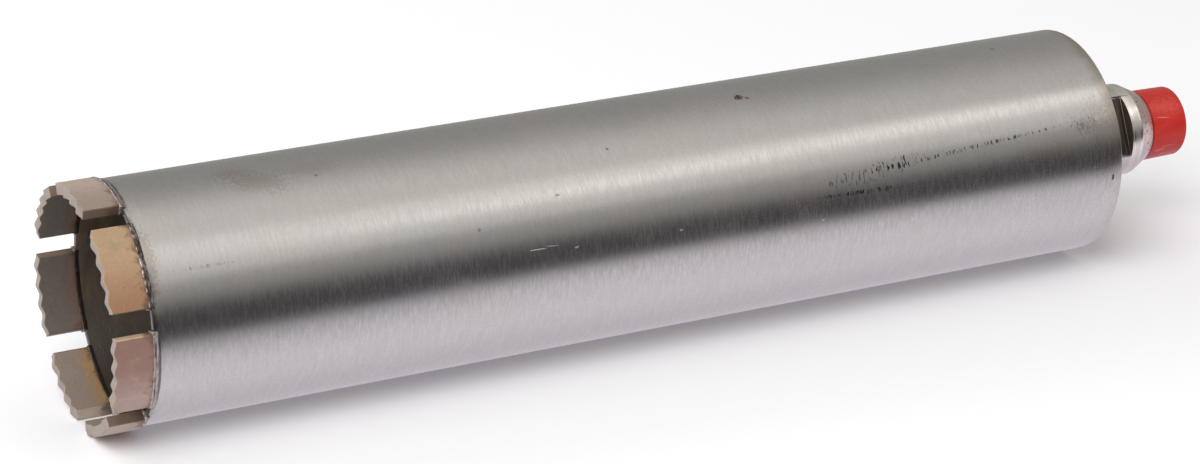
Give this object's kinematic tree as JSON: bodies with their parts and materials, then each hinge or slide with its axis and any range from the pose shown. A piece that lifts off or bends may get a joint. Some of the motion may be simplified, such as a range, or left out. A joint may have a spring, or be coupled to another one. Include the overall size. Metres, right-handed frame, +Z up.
{
  "type": "diamond core bit",
  "caption": "Thin steel barrel with a crown of wavy-edged cutting segments at the open end and a threaded connector under a plastic cap at the other.",
  "frame": {"origin": "on the bit's axis at the connector's shoulder, where the spindle thread begins", "axes": "+X along the bit's axis out of the threaded end, +Z up with the bit lying down across a slot of its crown"},
  "size_m": [0.3704, 0.072, 0.0719],
  "materials": {
    "barrel_steel": "bare drawn tube, brushed round the axis, with a light lacquer",
    "plate_steel": "faced mild steel",
    "weld_metal": "ground weld run with heat tint",
    "turned_steel": "turned bright steel",
    "diamond_segment": "matt sintered bronze bond with diamond grit",
    "silver_solder": "silver solder as it flowed, with flux marks",
    "red_plastic": "soft semi-gloss moulded plastic"
  },
  "bodies": {
    "root": {"barrel": "barrel_steel", "back_plate": "plate_steel", "tube_weld": "weld_metal", "connector": "turned_steel", "hub_weld": "weld_metal", "thread_cap": "red_plastic", "segment_1": "diamond_segment", "segment_2": "diamond_segment", "segment_3": "diamond_segment", "segment_4": "diamond_segment", "segment_5": "diamond_segment", "segment_6": "diamond_segment", "segment_7": "diamond_segment", "braze_1": "silver_solder", "braze_2": "silver_solder", "braze_3": "silver_solder", "braze_4": "silver_solder", "braze_5": "silver_solder", "braze_6": "silver_solder", "braze_7": "silver_solder"}
  },
  "joints": []
}
